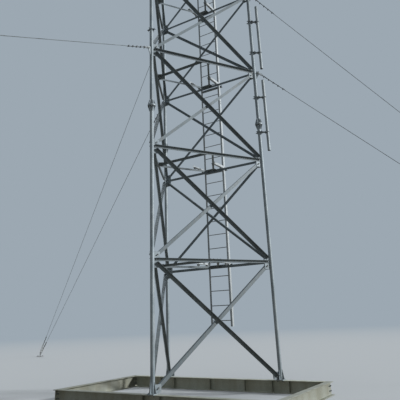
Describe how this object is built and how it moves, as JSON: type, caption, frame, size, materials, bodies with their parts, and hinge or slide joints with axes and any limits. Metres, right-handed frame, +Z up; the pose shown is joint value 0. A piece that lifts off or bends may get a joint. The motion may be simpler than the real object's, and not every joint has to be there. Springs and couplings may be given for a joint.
{
  "type": "guyed lattice tower",
  "caption": "Open triangular lattice tower of bolted angle bars on tubular legs, with ladder, mounting poles, guy ropes and a frame of beams under it.",
  "frame": {"origin": "the tower's axis, halfway between its three legs, at the underside of the beams", "axes": "+Z up the tower, +Y from the front leg towards the rear face with the ladder, +X along the rear face towards the leg with the mounting poles"},
  "size_m": [25.8672, 28.8767, 15.45],
  "materials": {
    "leg_tube": "hot-dip galvanised, weathered dull",
    "angle_bar": "hot-dip galvanised, weathered dull",
    "ladder_steel": "hot-dip galvanised",
    "pole_tube": "hot-dip galvanised, weathered dull",
    "beam_steel": "hot-dip galvanised, stained by run-off",
    "wire_rope": "galvanised strand",
    "anchor_steel": "hot-dip galvanised",
    "pole_cap": "moulded"
  },
  "bodies": {
    "root": {"beam_cleats": "beam_steel", "front_anchor": "anchor_steel", "front_beam": "beam_steel", "front_leg_clamp": "angle_bar", "front_leg_lower": "leg_tube", "front_leg_middle": "leg_tube", "front_leg_top": "leg_tube", "front_lower_guy": "wire_rope", "front_plan_braces": "angle_bar", "front_upper_guy": "wire_rope", "ladder_arms": "ladder_steel", "ladder_cross_angles": "ladder_steel", "ladder_lower": "ladder_steel", "ladder_middle": "ladder_steel", "ladder_splice_plates": "ladder_steel", "ladder_top": "ladder_steel", "left_anchor": "anchor_steel", "left_horizontals": "angle_bar", "left_inner_diagonals": "angle_bar", "left_leg_lower": "leg_tube", "left_leg_middle": "leg_tube", "left_leg_top": "leg_tube", "left_lower_guy": "wire_rope", "left_outer_diagonals": "angle_bar", "left_plan_braces": "angle_bar", "left_side_beam": "beam_steel", "left_upper_guy": "wire_rope", "mounting_poles": "pole_tube", "pole_brackets": "angle_bar", "pole_caps": "pole_cap", "rear_beam": "beam_steel", "rear_horizontals": "angle_bar", "rear_inner_diagonals": "angle_bar", "rear_outer_diagonals": "angle_bar", "right_anchor": "anchor_steel", "right_horizontals": "angle_bar", "right_inner_diagonals": "angle_bar", "right_leg_lower": "leg_tube", "right_leg_middle": "leg_tube", "right_leg_top": "leg_tube", "right_lower_guy": "wire_rope", "right_outer_diagonals": "angle_bar", "right_plan_braces": "angle_bar", "right_side_beam": "beam_steel", "right_upper_guy": "wire_rope"}
  },
  "joints": []
}
